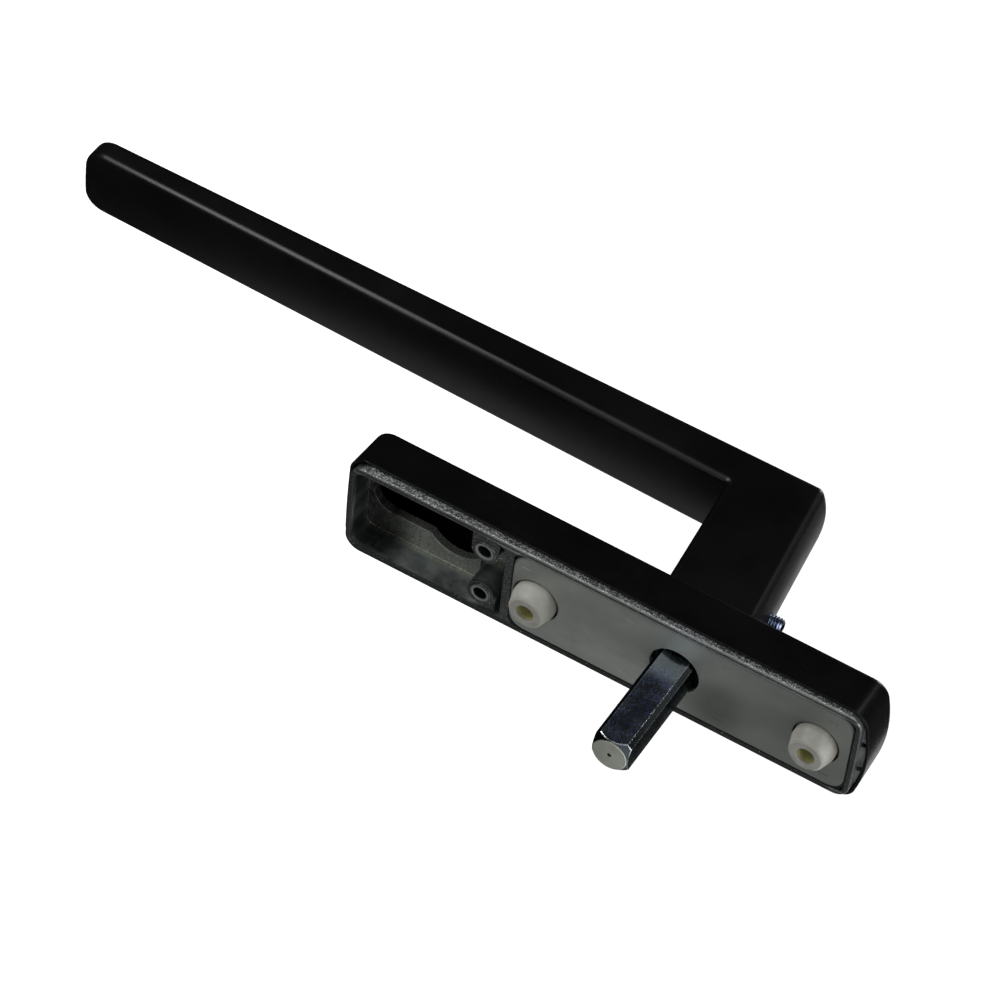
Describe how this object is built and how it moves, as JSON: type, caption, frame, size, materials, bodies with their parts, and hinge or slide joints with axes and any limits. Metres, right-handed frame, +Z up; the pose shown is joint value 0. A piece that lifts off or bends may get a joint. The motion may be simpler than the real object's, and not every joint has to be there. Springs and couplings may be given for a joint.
{
  "type": "lift-and-slide patio door handle",
  "caption": "Crank-shaped lever on a slim rose with a square drive spindle, two support lugs and an open compartment for a lock cylinder, for a sliding patio door.",
  "frame": {"origin": "on the spindle axis, in the plane where the rose's rim meets the door, midway between the two fixing screws", "axes": "+Y along the spindle into the door, so the room side is -Y; +Z up along the rose, away from the lock cylinder end; at rest the grip hangs down along -Z"},
  "size_m": [0.0324, 0.0999, 0.2704],
  "materials": {
    "black_coating": "satin black powder coat",
    "cover_coating": "satin black powder coat",
    "die_cast": "bare die casting, dull grey",
    "plate_steel": "zinc-plated sheet, dull",
    "spindle_steel": "bright zinc plating",
    "screw_steel": "zinc-plated steel",
    "spring_steel": "hardened strip, oiled",
    "white_nylon": "natural nylon",
    "bush_nylon": "black nylon",
    "cam_steel": "sintered steel"
  },
  "bodies": {
    "rose": {"base": "die_cast", "cover": "cover_coating", "back_plate": "plate_steel", "support_lug_upper": "white_nylon", "support_lug_lower": "white_nylon", "bearing_bush": "bush_nylon", "index_spring_left": "spring_steel", "index_spring_right": "spring_steel"},
    "handle": {"lever": "black_coating", "spindle": "spindle_steel", "grub_screw": "screw_steel", "index_cam": "cam_steel", "thrust_washer": "screw_steel", "retaining_ring": "spring_steel"}
  },
  "joints": [
    {"name": "lever_turn", "type": "hinge", "parent": "rose", "child": "handle", "pos_m": [0, 0, 0], "axis": [0, 1, 0], "range_deg": [0, 180], "deforming": ["index_spring_left", "index_spring_right"]}
  ]
}
